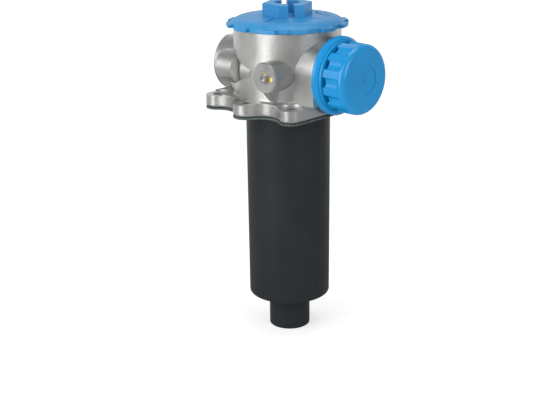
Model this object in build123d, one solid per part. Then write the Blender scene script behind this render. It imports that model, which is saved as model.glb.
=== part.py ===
from build123d import *
import math
import os

os.makedirs("parts", exist_ok=True)

# Tank-top return-line filter with a side breather, in millimetres.
# The origin is on the filter axis in the tank's top face, +Z points up along the axis,
# +X points towards the breather and -X towards the inlet port.

# Flange and its gasket
gasket_thickness = 2.0
flange_thickness = 14.5
flange_reach = 8.4
lug_radius = 12.0
mid_lug_radius = 14.0
mid_lug_reach = 6.4
scallop_radius = 22.0
mount_hole_radius = 4.5
spot_face_radius = 15.0
spot_face_depth = 1.6
flange_foot_round = 3.0
flange_top_round = 1.0
gasket_bore_gap = 1.0
vent_lobe_depth = 8.0
vent_lobe_half_width = 24.0

# Head casting
head_wall = 5.6
head_height = 88.3
head_flare = 2.5
head_edge_chamfer = 1.0
bowl_ledge_width = 6.0
bowl_ledge_height = 10.0
bowl_ledge_thickness = 3.0

# Breather duct on the side of the head
breather_axis_height = 43.2
duct_half_width = 38.0
duct_wall = 5.0
duct_reach = 4.0
duct_end_wall = 6.0
duct_floor = 3.0
chamber_skin = 5.0

# Inlet port
inlet_axis_height = 40.1
inlet_boss_radius = 32.0
inlet_reach = 24.9
inlet_bore_radius = 19.5
inlet_mouth_chamfer = 1.6
inlet_pad_width = 26.0
inlet_pad_drop = 2.2
inlet_pad_length = 17.0

# Gauge ports with their plugs
gauge_axis_height = 45.0
front_gauge_offset = 28.0
front_gauge_reach = 7.9
front_gauge_radius = 16.2
front_rib_setback = 1.5
side_gauge_spacing = 8.6
side_gauge_setback = 5.0
side_gauge_radius = 17.6
side_rib_setback = 8.5
gauge_edge_chamfer = 1.2
gauge_bore_radius = 3.4
gauge_rib_thickness = 8.0
gauge_rib_slope = 0.9
side_recess_start = 14.5
side_recess_end = 28.5
side_recess_skin = 2.5
plug_head_radius = 4.8
plug_head_thickness = 2.4
plug_edge_chamfer = 0.5
plug_shank_length = 9.0
plug_socket_radius = 2.6
plug_socket_depth = 2.6
plug_washer_radius = 6.1
plug_washer_thickness = 0.8

# Cover with its split hexagon
cover_tab_reach = 4.7
cover_rim_thickness = 4.2
cover_overhang = 2.8
cover_notch_count = 12
cover_notch_angle = 14.0
cover_tab_angle = -6.1
cover_rise = 6.3
cover_slope_width = 6.4
cover_crown_rise = 4.9
cover_crown_round = 18.0
cover_edge_round = 0.8
cover_wall = 4.6
cover_skirt_depth = 17.4
cover_skirt_wall = 4.8
cover_rib_count = 6
cover_rib_thickness = 3.0
cover_rib_depth = 7.0
hexagon_across_flats = 46.4
hexagon_height = 13.2
hexagon_bore_radius = 13.5
hexagon_slot_width = 6.8
hexagon_angle = -36.2
hexagon_slot_floor = 0.4
hexagon_turn = 30.0
hexagon_edge_chamfer = 0.7
cover_mark_width = 1.8
cover_mark_depth = 1.2
cover_mark_inner_radius = 29.0
cover_mark_outer_radius = 46.0
cover_mark_angles = (-75.5, 5.0)
bent_mark_radius = 33.5
bent_mark_angle = 56.7
bent_mark_legs = ((-6.0, 20.0), (141.0, 14.0))
arc_mark_radius = 54.5
arc_mark_angle = 180.0
arc_mark_half_width = 14.0
cover_thread_height = 1.3
cover_land_depth = 7.0
cover_land_step = 2.4

# Bowl with its outlet spout
bowl_top_radius = 45.7
bowl_draft = 0.7
bowl_wall = 3.2
bowl_depth = 214.4
bowl_floor = 4.0
bowl_rim_height = 6.5
bowl_foot_round = 2.5
spout_radius = 22.85
spout_bore_radius = 19.5
spout_length = 40.7
spout_edge_round = 1.5
element_seat_height = 5.0
element_seat_wall = 3.5

# Filter element
element_gap = 3.8
cap_thickness = 3.0
cap_skirt_depth = 8.0
cap_skirt_wall = 1.5
cap_fin_count = 4
cap_fin_turn = 45.0
cap_fin_thickness = 2.4
cap_fin_height = 7.0
element_top = 33.0
media_inner_radius = 24.5
media_fold = 3.4
pleat_count = 48
core_outer_radius = 23.4
core_wall = 1.0
core_hole_radius = 3.0
core_hole_rows = 14
core_holes_around = 10
spigot_length = 20.0
spigot_wall = 4.6
spigot_seal_distance = 7.0
bail_radius = 31.0
bail_wire_radius = 1.25
bail_ear_thickness = 2.4
bail_ear_width = 6.0
bail_ear_height = 4.6

# Bypass valve in the element's top cap
bypass_opening_radius = 11.5
poppet_radius = 13.4
poppet_thickness = 3.2
poppet_stem_radius = 2.9
poppet_stem_clearance = 0.06
cage_radius = 16.8
cage_wall = 1.4
cage_depth = 26.0
cage_floor = 2.4
cage_window_count = 4
cage_window_sill = 2.4
cage_window_half_width = 6.5
bypass_spring_radius = 8.6
bypass_spring_wire = 1.5
bypass_spring_pitch = 4.0

# Spring between the cover and the element
cover_spring_radius = 22.0
cover_spring_wire = 3.2
cover_spring_pitch = 9.0
spring_guide_wall = 1.8
spring_guide_height = 4.0

# Breather
breather_flange_radius = 41.0
breather_flange_thickness = 6.5
breather_flange_step = 2.6
breather_spigot_radius = 24.0
breather_spigot_length = 7.5
breather_spigot_wall = 3.0
breather_neck_radius = 29.0
breather_neck_bore_radius = 25.2
breather_neck_length = 17.5
breather_gasket_thickness = 1.5
breather_gasket_width = 7.0
breather_cap_radius = 36.4
breather_cap_gap = 4.0
breather_seat_radius = 37.5
breather_seat_clearance = 0.8
breather_cap_length = 26.8
breather_cap_wall = 3.0
breather_cap_edge_round = 6.4
breather_flute_count = 12
breather_flute_radius = 9.0
breather_flute_depth = 2.6
breather_flute_setback = 4.6
breather_slot_half_width = 4.6
breather_slot_length = 2.6
breather_disc_radius = 16.0
breather_disc_depth = 0.5
breather_nub_radius = 2.2
breather_sleeve_wall = 2.8
breather_sleeve_overlap = 9.4
breather_thread_height = 0.9
breather_window_count = 6
breather_window_half_width = 5.0
breather_filter_length = 11.0
baffle_thickness = 1.6
baffle_hub_radius = 7.0
baffle_slot_count = 8
baffle_slot_half_width = 2.2

# Clearances and seals, with the overlap of joined shapes and the tolerance for picking edges
plain_clearance = 0.3
close_clearance = 0.1
seal_squeeze_gap = 0.05
sliding_seal_gap = 0.15
bowl_groove_depth = 2.3
spigot_groove_depth = 2.2
cover_groove_depth = 2.2
groove_side_gap = 0.35
overlap = 1.0
match = 0.01

# Radii and distances that follow the bowl, worked out from the sizes above
bowl_bottom_radius = bowl_top_radius - bowl_draft
bowl_bore_radius = bowl_top_radius + plain_clearance
chamber_radius = bowl_bore_radius + bowl_ledge_width
head_radius = chamber_radius + head_wall
flange_side = head_radius + flange_reach
mid_lug_distance = head_radius + mid_lug_reach
gasket_bore_radius = bowl_bore_radius + gasket_bore_gap
vent_lobe_radius = bowl_bore_radius + vent_lobe_depth
duct_face_distance = flange_side + duct_reach
inlet_face_distance = head_radius + inlet_reach
front_gauge_distance = head_radius + front_gauge_reach
side_gauge_offset = inlet_boss_radius + side_gauge_spacing
side_gauge_distance = head_radius - side_gauge_setback
cover_notch_radius = head_radius + cover_overhang
cover_rim_radius = cover_notch_radius + cover_tab_reach
cover_crown_radius = cover_notch_radius - cover_slope_width
cap_radius = bowl_bottom_radius - bowl_wall - element_gap
media_outer_radius = cap_radius - cap_skirt_wall - plain_clearance

# Levels along the axis, worked out from the sizes above
flange_bottom = gasket_thickness
flange_top = flange_bottom + flange_thickness
corner_hole = flange_side - lug_radius
ledge_top = flange_bottom + bowl_ledge_height
head_top = head_height
rim_top = head_top + cover_rim_thickness
crown_top = rim_top + cover_crown_rise
dome_top = rim_top + cover_rise
skirt_bottom = head_top - cover_skirt_depth
thread_bore_radius = chamber_radius + cover_thread_height + plain_clearance
mouth_radius = thread_bore_radius + cover_land_step - cover_thread_height + plain_clearance
bowl_shoulder = -bowl_depth
spout_end = bowl_shoulder - spout_length
bowl_inside_floor = bowl_shoulder + bowl_floor
element_seat = bowl_inside_floor + element_seat_height
element_plate_bottom = element_top - cap_thickness
element_floor_top = element_seat + cap_thickness
ceiling = dome_top - cover_wall

# Sizes that more than one piece takes, worked out from the sizes above
mouth_bottom = head_top - cover_land_depth
skirt_radius = thread_bore_radius - cover_thread_height
land_bottom = mouth_bottom + mouth_radius - thread_bore_radius + groove_side_gap
land_radius = mouth_radius - plain_clearance
hexagon_circle = hexagon_across_flats / math.sqrt(3)
cover_seal_section = cover_groove_depth + plain_clearance - 2 * sliding_seal_gap
cover_seal_height = (land_bottom + head_top) / 2
cover_groove_bottom = cover_seal_height - cover_seal_section / 2 - groove_side_gap
cover_groove_top = cover_seal_height + cover_seal_section / 2 + groove_side_gap
bowl_seal_section = bowl_groove_depth + plain_clearance - 2 * seal_squeeze_gap
spigot_radius = spout_bore_radius - plain_clearance
spigot_seal_section = spigot_groove_depth + plain_clearance - 2 * seal_squeeze_gap
spigot_seal_height = element_seat - spigot_length + spigot_seal_distance
guide_ring_radius = cover_spring_radius - cover_spring_wire / 2 - plain_clearance
bail_ear_inner = bail_radius - bail_ear_thickness - bail_wire_radius - plain_clearance
bail_height = element_top + bail_wire_radius + close_clearance
cap_back = duct_face_distance + breather_flange_thickness + breather_cap_gap
cap_front = cap_back + breather_cap_length
cap_inner_radius = breather_cap_radius - breather_flute_depth - breather_cap_wall
neck_front = duct_face_distance + breather_flange_thickness + breather_neck_length
sleeve_radius = breather_neck_bore_radius - breather_thread_height
gasket_outer = breather_spigot_radius + breather_gasket_width
baffle_radius = breather_neck_bore_radius - overlap
breather_flute_round_reach = math.sqrt(
    breather_flute_radius ** 2 - (breather_flute_radius - breather_flute_depth) ** 2)


def export(shape, node):
    export_step(shape, f"parts/{node}.step")


def polar(radius, degrees):
    angle = math.radians(degrees)
    return (radius * math.cos(angle), radius * math.sin(angle))


def circles(solid, radius, height):
    """The circular edges about an upright axis, by radius and height."""
    return [
        edge for edge in solid.edges().filter_by(GeomType.CIRCLE)
        if abs(edge.radius - radius) < match and abs(edge.arc_center.Z - height) < match
    ]


def side_circles(solid, radius, distance):
    """The circular edges about a level axis, by radius and distance along X."""
    return [
        edge for edge in solid.edges().filter_by(GeomType.CIRCLE)
        if abs(edge.radius - radius) < match and abs(edge.arc_center.X - distance) < match
    ]


def turned(points):
    """A solid of revolution about Z from its half section of (radius, height) points."""
    return revolve(make_face(Polyline([(r, 0, z) for r, z in points], close=True)), Axis.Z)


def rod(radius, bottom, top):
    length = top - bottom
    return Pos(0, 0, bottom) * Cylinder(radius, length, align=(Align.CENTER, Align.CENTER, Align.MIN))


def tube(outer, inner, bottom, top):
    return rod(outer, bottom, top) - rod(inner, bottom, top)


def on_side(shape, height):
    """Lays a shape made along Z down along +X, at a height above the tank."""
    return Pos(0, 0, height) * Rot(0, 90, 0) * shape


def block(low, high):
    size = [high[i] - low[i] for i in range(3)]
    return Pos(*low) * Box(*size, align=(Align.MIN, Align.MIN, Align.MIN))


def ring_seal(inner_wall, outer_wall, height, inner_gap, outer_gap):
    """An O-ring that fills the space between two round walls."""
    inner = inner_wall + inner_gap
    section = (outer_wall - outer_gap - inner) / 2
    return Pos(0, 0, height) * Torus(inner + section, section)


def coil_spring(mean_radius, wire, pitch, bottom, top):
    """A right-hand coil spring whose two ends touch its seats."""
    coil = Helix(pitch=pitch, height=top - bottom - wire, radius=mean_radius)
    section = Plane(origin=coil @ 0, z_dir=coil % 0) * Circle(wire / 2)
    return Pos(0, 0, bottom + wire / 2) * sweep(section, path=coil)


# Places of the side ports: their own X points out of the head
inlet_place = Rot(0, 0, 180)
front_gauge_place = Pos(front_gauge_offset, 0, 0) * Rot(0, 0, -90)
side_gauge_place = Pos(0, -side_gauge_offset, 0) * Rot(0, 0, 180)


# Mounting flange: four corner lugs, a middle lug on each Y side, hollows between them
def tangent_arc(centre, radius, from_point, to_point, turn):
    """An arc about centre between the directions of two points, turning +1 or -1."""
    start = math.degrees(math.atan2(from_point[1] - centre[1], from_point[0] - centre[0]))
    end = math.degrees(math.atan2(to_point[1] - centre[1], to_point[0] - centre[0]))
    sweep_angle = (end - start) % 360 if turn > 0 else -((start - end) % 360)
    return CenterArc(centre, radius, start, sweep_angle)


def lug_side():
    """The outline's -Y side, from the +X corner lug to the -X corner lug."""
    corner = (corner_hole, -corner_hole)
    middle = (0, -mid_lug_distance)
    span = math.dist(corner, middle)
    along = ((corner[0] - middle[0]) / span, (corner[1] - middle[1]) / span)
    corner_reach = lug_radius + scallop_radius
    middle_reach = mid_lug_radius + scallop_radius
    foot = (middle_reach ** 2 - corner_reach ** 2 + span ** 2) / (2 * span)
    offset = math.sqrt(middle_reach ** 2 - foot ** 2)
    hollow = (
        middle[0] + along[0] * foot + along[1] * offset,
        middle[1] + along[1] * foot - along[0] * offset,
    )
    far_hollow = (-hollow[0], hollow[1])
    far_corner = (-corner[0], corner[1])
    return [
        tangent_arc(corner, lug_radius, (flange_side, corner[1]), hollow, -1),
        tangent_arc(hollow, scallop_radius, corner, middle, 1),
        tangent_arc(middle, mid_lug_radius, hollow, far_hollow, -1),
        tangent_arc(far_hollow, scallop_radius, middle, far_corner, 1),
        tangent_arc(far_corner, lug_radius, far_hollow, (-flange_side, corner[1]), -1),
    ]


def flange_plate(thickness):
    edges = lug_side()
    edges += [edge.mirror(Plane.XZ) for edge in lug_side()]
    for side in (-flange_side, flange_side):
        edges.append(Line((side, -corner_hole), (side, corner_hole)))
    return extrude(make_face(edges), thickness)


def mount_hole_places():
    places = [(x, y) for x in (-corner_hole, corner_hole) for y in (-corner_hole, corner_hole)]
    return places + [(0, -mid_lug_distance), (0, mid_lug_distance)]


def vent_lobe(radius, bottom, top):
    """The air way beside the bowl, on the breather's side."""
    half = vent_lobe_half_width
    return rod(radius, bottom, top) & block((0, -half, bottom), (radius, half, top))


# Flange gasket
def make_flange_gasket():
    gasket = flange_plate(gasket_thickness)
    gasket -= rod(gasket_bore_radius, 0, gasket_thickness)
    gasket -= vent_lobe(vent_lobe_radius, 0, gasket_thickness)
    for x, y in mount_hole_places():
        gasket -= Pos(x, y) * rod(mount_hole_radius, 0, gasket_thickness)
    return gasket


# Head casting
def arch(half_width, bottom, start, end):
    """A round-topped duct along +X, with upright walls from its axis down to the bottom."""
    vault = on_side(rod(half_width, start, end), breather_axis_height)
    return vault + block((start, -half_width, bottom), (end, half_width, breather_axis_height))


def gauge_boss(radius, distance, rib_setback):
    """A boss along +X with the rib that carries it on the flange."""
    boss = on_side(rod(radius, 0, distance), gauge_axis_height)
    boss = chamfer(side_circles(boss, radius, distance), gauge_edge_chamfer)
    reach = distance - rib_setback
    knee = gauge_axis_height - radius + overlap
    foot = reach - (knee - flange_top) * gauge_rib_slope
    outline = Polyline(
        (0, 0, flange_top - overlap), (foot, 0, flange_top - overlap), (foot, 0, flange_top),
        (reach, 0, knee), (reach, 0, gauge_axis_height), (0, 0, gauge_axis_height), close=True)
    return boss + extrude(make_face(outline), gauge_rib_thickness / 2, both=True)


def gauge_bore(distance):
    return on_side(rod(gauge_bore_radius, 0, distance), gauge_axis_height)


def side_recess():
    """The hollow between the side gauge boss and the barrel, with a skin left over the chamber."""
    hollow = on_side(rod(side_gauge_radius, side_recess_start, side_recess_end), gauge_axis_height)
    return side_gauge_place * hollow - rod(chamber_radius + side_recess_skin, 0, head_top)


def inlet_boss():
    boss = on_side(rod(inlet_boss_radius, 0, inlet_face_distance), inlet_axis_height)
    boss = chamfer(side_circles(boss, inlet_boss_radius, inlet_face_distance), gauge_edge_chamfer)
    crown = inlet_axis_height + inlet_boss_radius
    flat = block(
        (inlet_face_distance - inlet_pad_length, -inlet_pad_width / 2, crown - inlet_pad_drop),
        (inlet_face_distance + overlap, inlet_pad_width / 2, crown + overlap))
    return boss - flat


def inlet_bore():
    bore = on_side(rod(inlet_bore_radius, 0, inlet_face_distance), inlet_axis_height)
    mouth = Cone(inlet_bore_radius, inlet_bore_radius + inlet_mouth_chamfer, inlet_mouth_chamfer,
                 align=(Align.CENTER, Align.CENTER, Align.MAX))
    return bore + on_side(Pos(0, 0, inlet_face_distance) * mouth, inlet_axis_height)


def head_outside():
    flange = Pos(0, 0, flange_bottom) * flange_plate(flange_thickness)
    flange = fillet(flange.faces().sort_by(Axis.Z)[0].outer_wire().edges(), flange_foot_round)
    flange = fillet(flange.faces().sort_by(Axis.Z)[-1].outer_wire().edges(), flange_top_round)
    barrel = turned([
        (0, flange_bottom + overlap),
        (head_radius, flange_bottom + overlap),
        (head_radius, head_top - head_edge_chamfer),
        (head_radius - head_edge_chamfer, head_top),
        (0, head_top),
    ])
    foot_radius = head_radius + head_flare
    foot_top = flange_top + head_flare
    flare = tube(foot_radius, head_radius - overlap, flange_top - overlap, foot_top)
    flare -= Pos(0, 0, foot_top) * Torus(foot_radius, head_flare)
    duct = arch(duct_half_width, flange_top - overlap, 0, duct_face_distance)
    rim = rod(duct_half_width, flange_side - duct_end_wall, duct_face_distance)
    collar = on_side(rim, breather_axis_height)
    outside = flange + barrel + flare + duct + collar + inlet_place * inlet_boss()
    outside += front_gauge_place * gauge_boss(front_gauge_radius, front_gauge_distance, front_rib_setback)
    outside += side_gauge_place * gauge_boss(side_gauge_radius, side_gauge_distance, side_rib_setback)
    return outside - side_recess()


def chamber():
    """The oil space above the bowl, with the cover's thread bore and mouth on top."""
    return turned([
        (0, flange_bottom),
        (bowl_bore_radius, flange_bottom),
        (bowl_bore_radius, ledge_top),
        (chamber_radius, ledge_top),
        (chamber_radius, skirt_bottom - overlap),
        (thread_bore_radius, skirt_bottom),
        (thread_bore_radius, mouth_bottom),
        (mouth_radius, mouth_bottom + mouth_radius - thread_bore_radius),
        (mouth_radius, head_top),
        (0, head_top),
    ])


def vent_passage():
    """The air space between the breather and the tank, outside the oil chamber."""
    skin_radius = chamber_radius + chamber_skin
    shaft_end = duct_face_distance - duct_end_wall
    shaft = arch(duct_half_width - duct_wall, flange_bottom + duct_floor, 0, shaft_end)
    shaft -= rod(skin_radius, flange_bottom, head_top)
    channel_top = ledge_top - bowl_ledge_thickness
    channel = block((bowl_bore_radius, -vent_lobe_half_width, flange_bottom + duct_floor),
                    (shaft_end, vent_lobe_half_width, channel_top))
    mouth = on_side(rod(breather_spigot_radius + plain_clearance, shaft_end - overlap, duct_face_distance),
                    breather_axis_height)
    return shaft + channel + vent_lobe(vent_lobe_radius, flange_bottom, channel_top) + mouth


def make_head():
    head = head_outside() - chamber() - vent_passage()
    head -= inlet_place * inlet_bore()
    head -= front_gauge_place * gauge_bore(front_gauge_distance)
    head -= side_gauge_place * gauge_bore(side_gauge_distance)
    for x, y in mount_hole_places():
        head -= Pos(x, y) * rod(mount_hole_radius, flange_bottom, flange_top)
        spot_face = Pos(x, y) * rod(spot_face_radius, flange_top - spot_face_depth, flange_top + head_flare)
        head -= spot_face - rod(head_radius, flange_bottom, head_top)
    return head


# Gauge port plugs and their washers
def make_gauge_plug(distance):
    seat = distance + plug_washer_thickness
    front = seat + plug_head_thickness
    plug = rod(plug_head_radius, seat, front)
    plug = chamfer(circles(plug, plug_head_radius, front), plug_edge_chamfer)
    plug += rod(gauge_bore_radius - close_clearance, distance - plug_shank_length, seat)
    socket = extrude(RegularPolygon(plug_socket_radius, 6), plug_socket_depth)
    return on_side(plug - Pos(0, 0, front - plug_socket_depth) * socket, gauge_axis_height)


def make_plug_washer(distance):
    inner = gauge_bore_radius + close_clearance
    washer = tube(plug_washer_radius, inner, distance, distance + plug_washer_thickness)
    return on_side(washer, gauge_axis_height)


# Cover
def cover_dome(lower):
    """The cover's crowned top as a solid down to its rim, sunk by lower."""
    dome = turned([
        (0, head_top - lower),
        (cover_notch_radius, head_top - lower),
        (cover_notch_radius, rim_top - lower),
        (cover_crown_radius, crown_top - lower),
        (hexagon_circle, dome_top - lower),
        (0, dome_top - lower),
    ])
    return fillet(circles(dome, cover_crown_radius, crown_top - lower), cover_crown_round)


def cover_rim():
    rim = rod(cover_rim_radius, head_top, rim_top)
    step = 360 / cover_notch_count
    notch = tube(cover_rim_radius + overlap, cover_notch_radius, head_top, rim_top)
    reach = 2 * cover_rim_radius
    side = polar(reach, cover_notch_angle / 2)
    wedge = extrude(make_face(Polyline((0, 0), side, (side[0], -side[1]), close=True)), rim_top)
    notch &= wedge
    for number in range(cover_notch_count):
        rim -= Rot(0, 0, cover_tab_angle + step * (number + 0.5)) * notch
    rim = fillet(rim.faces().sort_by(Axis.Z)[-1].outer_wire().edges(), cover_edge_round)
    return fillet(rim.faces().sort_by(Axis.Z)[0].outer_wire().edges(), cover_edge_round)


def cover_hexagon():
    hexagon = extrude(RegularPolygon(hexagon_circle, 6), hexagon_height)
    hexagon = chamfer(hexagon.faces().sort_by(Axis.Z)[-1].outer_wire().edges(), hexagon_edge_chamfer)
    half = hexagon_slot_width / 2
    slot = block((-cover_rim_radius, -half, hexagon_slot_floor), (cover_rim_radius, half, hexagon_height))
    hexagon = Rot(0, 0, hexagon_turn) * hexagon - slot
    return Pos(0, 0, dome_top) * (Rot(0, 0, hexagon_angle) * hexagon)


def cover_marks():
    """Grooves in the cover's top: two radial ones, one bent like an elbow and one along the edge."""
    def straight(start, end):
        return block((start, -half_width, head_top), (end, half_width, dome_top))
    half_width = cover_mark_width / 2
    radial = straight(cover_mark_inner_radius, cover_mark_outer_radius)
    marks = [Rot(0, 0, angle) * radial for angle in cover_mark_angles]
    elbow = Pos(*polar(bent_mark_radius, bent_mark_angle))
    for angle, length in bent_mark_legs:
        marks.append(elbow * Rot(0, 0, angle) * straight(-half_width, length))
    arc = tube(arc_mark_radius + half_width, arc_mark_radius - half_width, head_top, dome_top)
    arc &= block((0, -arc_mark_half_width, head_top), (cover_rim_radius, arc_mark_half_width, dome_top))
    marks.append(Rot(0, 0, arc_mark_angle) * arc)
    sunk = cover_dome(cover_mark_depth)
    return [mark - sunk for mark in marks]


def make_cover():
    skirt = turned([
        (skirt_radius - cover_skirt_wall, skirt_bottom),
        (skirt_radius, skirt_bottom),
        (skirt_radius, land_bottom),
        (land_radius, land_bottom),
        (land_radius, head_top + overlap),
        (skirt_radius - cover_skirt_wall, head_top + overlap),
    ])
    hollow = cover_dome(cover_wall) & rod(skirt_radius - cover_skirt_wall, skirt_bottom, dome_top)
    cover = cover_rim() + cover_dome(0) + skirt + cover_hexagon()
    guide = cover_spring_radius + cover_spring_wire / 2 + plain_clearance
    rib_reach = skirt_radius - cover_skirt_wall + overlap
    rib = block((guide, -cover_rib_thickness / 2, head_top - cover_rib_depth),
                (rib_reach, cover_rib_thickness / 2, ceiling))
    cover -= hollow
    for number in range(cover_rib_count):
        cover += Rot(0, 0, number * 360 / cover_rib_count) * rib
    cover += tube(guide + spring_guide_wall, guide, head_top - cover_rib_depth, ceiling)
    groove_radius = land_radius - cover_groove_depth
    cover -= tube(land_radius + overlap, groove_radius, cover_groove_bottom, cover_groove_top)
    cover -= rod(hexagon_bore_radius, dome_top, dome_top + hexagon_height)
    for mark in cover_marks():
        cover -= mark
    return cover


# Bowl with its outlet spout
def make_bowl():
    rim_radius = chamber_radius - plain_clearance
    rim_top_level = ledge_top + bowl_rim_height
    outside = turned([
        (0, spout_end),
        (spout_radius, spout_end),
        (spout_radius, bowl_shoulder),
        (bowl_bottom_radius, bowl_shoulder),
        (bowl_top_radius, ledge_top),
        (rim_radius, ledge_top),
        (rim_radius, rim_top_level),
        (0, rim_top_level),
    ])
    outside = fillet(circles(outside, bowl_bottom_radius, bowl_shoulder), bowl_foot_round)
    outside = fillet(circles(outside, spout_radius, spout_end), spout_edge_round)
    seat_radius = spout_bore_radius + element_seat_wall
    inside = turned([
        (0, spout_end),
        (spout_bore_radius, spout_end),
        (spout_bore_radius, element_seat),
        (seat_radius, element_seat),
        (seat_radius, bowl_inside_floor),
        (bowl_bottom_radius - bowl_wall, bowl_inside_floor),
        (bowl_top_radius - bowl_wall, rim_top_level),
        (0, rim_top_level),
    ])
    middle = ledge_top + bowl_rim_height / 2
    half_groove = bowl_seal_section / 2 + groove_side_gap
    groove = tube(rim_radius + overlap, rim_radius - bowl_groove_depth,
                  middle - half_groove, middle + half_groove)
    return outside - inside - groove


# Filter element
def make_media():
    """Paper folded into pleats: two stars with the same points, one fold's width apart."""
    def star(tip, root):
        points = []
        for number in range(2 * pleat_count):
            radius = tip if number % 2 == 0 else root
            points.append(polar(radius, number * 180 / pleat_count))
        return make_face(Polyline(points, close=True))
    section = star(media_outer_radius, media_inner_radius + media_fold)
    section -= star(media_outer_radius - media_fold, media_inner_radius)
    return Pos(0, 0, element_floor_top) * extrude(section, element_plate_bottom - element_floor_top)


def make_core():
    core = tube(core_outer_radius, core_outer_radius - core_wall, element_floor_top, element_plate_bottom)
    row_step = (element_plate_bottom - element_floor_top) / core_hole_rows
    holes = []
    for row in range(core_hole_rows):
        for column in range(core_holes_around):
            angle = (column + (row % 2) / 2) * 360 / core_holes_around
            level = element_floor_top + (row + 0.5) * row_step
            inside = core_outer_radius - core_wall - overlap
            drill = rod(core_hole_radius, inside, core_outer_radius + overlap)
            hole = on_side(drill, level)
            holes.append(Rot(0, 0, angle) * hole)
    return core - holes


def make_top_cap():
    sleeve_inner = cage_radius + close_clearance
    cap = turned([
        (bypass_opening_radius, element_plate_bottom),
        (sleeve_inner, element_plate_bottom),
        (sleeve_inner, element_plate_bottom - cap_skirt_depth),
        (sleeve_inner + cap_skirt_wall, element_plate_bottom - cap_skirt_depth),
        (sleeve_inner + cap_skirt_wall, element_plate_bottom),
        (cap_radius - cap_skirt_wall, element_plate_bottom),
        (cap_radius - cap_skirt_wall, element_plate_bottom - cap_skirt_depth),
        (cap_radius, element_plate_bottom - cap_skirt_depth),
        (cap_radius, element_top),
        (guide_ring_radius, element_top),
        (guide_ring_radius, element_top + spring_guide_height),
        (guide_ring_radius - spring_guide_wall, element_top + spring_guide_height),
        (guide_ring_radius - spring_guide_wall, element_top),
        (bypass_opening_radius, element_top),
    ])
    fin_reach = bowl_top_radius - bowl_wall - plain_clearance
    fin = block((cap_radius - cap_skirt_wall, -cap_fin_thickness / 2, element_plate_bottom - cap_skirt_depth),
                (fin_reach, cap_fin_thickness / 2, element_plate_bottom - cap_skirt_depth + cap_fin_height))
    for number in range(cap_fin_count):
        cap += Rot(0, 0, cap_fin_turn + number * 360 / cap_fin_count) * fin
    ear = block((-bail_ear_width / 2, bail_ear_inner, element_top),
                (bail_ear_width / 2, bail_ear_inner + bail_ear_thickness, element_top + bail_ear_height))
    drill = Cylinder(bail_wire_radius + close_clearance, 2 * cap_radius)
    pin_hole = Pos(0, 0, bail_height) * Rot(90, 0, 0) * drill
    for side in (0, 180):
        cap += Rot(0, 0, side) * ear
    return cap - pin_hole


def make_bail():
    """The lifting wire, folded flat on the cap, with its two ends hooked into the ears."""
    bow = Pos(0, 0, bail_height) * Torus(bail_radius, bail_wire_radius)
    bow &= block((-cap_radius, -cap_radius, element_top), (0, cap_radius, bail_height + bail_radius))
    pin_length = bail_radius - bail_ear_inner + bail_wire_radius
    bail = bow
    for side in (-1, 1):
        pin = Pos(0, side * bail_radius, bail_height) * Rot(90 * side, 0, 0) * Cylinder(
            bail_wire_radius, pin_length, align=(Align.CENTER, Align.CENTER, Align.MIN))
        bail += pin
        bail += Pos(0, side * bail_radius, bail_height) * Sphere(bail_wire_radius)
    return bail


def make_bottom_cap():
    spigot_bottom = element_seat - spigot_length
    cap = turned([
        (spigot_radius - spigot_wall, spigot_bottom),
        (spigot_radius, spigot_bottom),
        (spigot_radius, element_seat),
        (cap_radius, element_seat),
        (cap_radius, element_floor_top + cap_skirt_depth),
        (cap_radius - cap_skirt_wall, element_floor_top + cap_skirt_depth),
        (cap_radius - cap_skirt_wall, element_floor_top),
        (spigot_radius - spigot_wall, element_floor_top),
    ])
    half_groove = spigot_seal_section / 2 + groove_side_gap
    groove = tube(spigot_radius + overlap, spigot_radius - spigot_groove_depth,
                  spigot_seal_height - half_groove, spigot_seal_height + half_groove)
    return cap - groove


# Bypass valve
def make_bypass_cage():
    bottom = element_plate_bottom - cage_depth
    cage = rod(cage_radius, bottom, element_plate_bottom)
    cage -= rod(cage_radius - cage_wall, bottom + cage_floor, element_plate_bottom)
    window = block((0, -cage_window_half_width, bottom + cage_floor + cage_window_sill),
                   (cage_radius + overlap, cage_window_half_width, element_plate_bottom - cap_skirt_depth))
    for number in range(cage_window_count):
        cage -= Rot(0, 0, number * 360 / cage_window_count) * window
    return cage - rod(poppet_stem_radius + poppet_stem_clearance, bottom, bottom + cage_floor)


def make_bypass_poppet():
    disc_bottom = element_plate_bottom - poppet_thickness
    stem_bottom = element_plate_bottom - cage_depth - overlap
    disc = rod(poppet_radius, disc_bottom, element_plate_bottom)
    return disc + rod(poppet_stem_radius, stem_bottom, disc_bottom)


# Breather
def make_breather_base():
    front = duct_face_distance + breather_flange_thickness
    seat_front = cap_back - breather_seat_clearance
    neck_end = front + breather_neck_length
    bore = breather_spigot_radius - breather_spigot_wall
    base = turned([
        (bore, duct_face_distance - breather_spigot_length),
        (breather_spigot_radius, duct_face_distance - breather_spigot_length),
        (breather_spigot_radius, duct_face_distance),
        (breather_flange_radius, duct_face_distance),
        (breather_flange_radius, front - breather_flange_step),
        (breather_flange_radius - breather_flange_step, front),
        (breather_seat_radius, front),
        (breather_seat_radius, seat_front),
        (breather_neck_radius, seat_front),
        (breather_neck_radius, neck_end),
        (breather_neck_bore_radius, neck_end),
        (breather_neck_bore_radius, front),
        (bore, front),
    ])
    recess = tube(gasket_outer, breather_spigot_radius, duct_face_distance,
                  duct_face_distance + breather_gasket_thickness)
    seat = rod(baffle_radius, front - baffle_thickness, front)
    return on_side(base - recess - seat, breather_axis_height)


def make_breather_gasket():
    gasket = tube(gasket_outer - close_clearance, breather_spigot_radius + close_clearance,
                  duct_face_distance, duct_face_distance + breather_gasket_thickness)
    return on_side(gasket, breather_axis_height)


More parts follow.
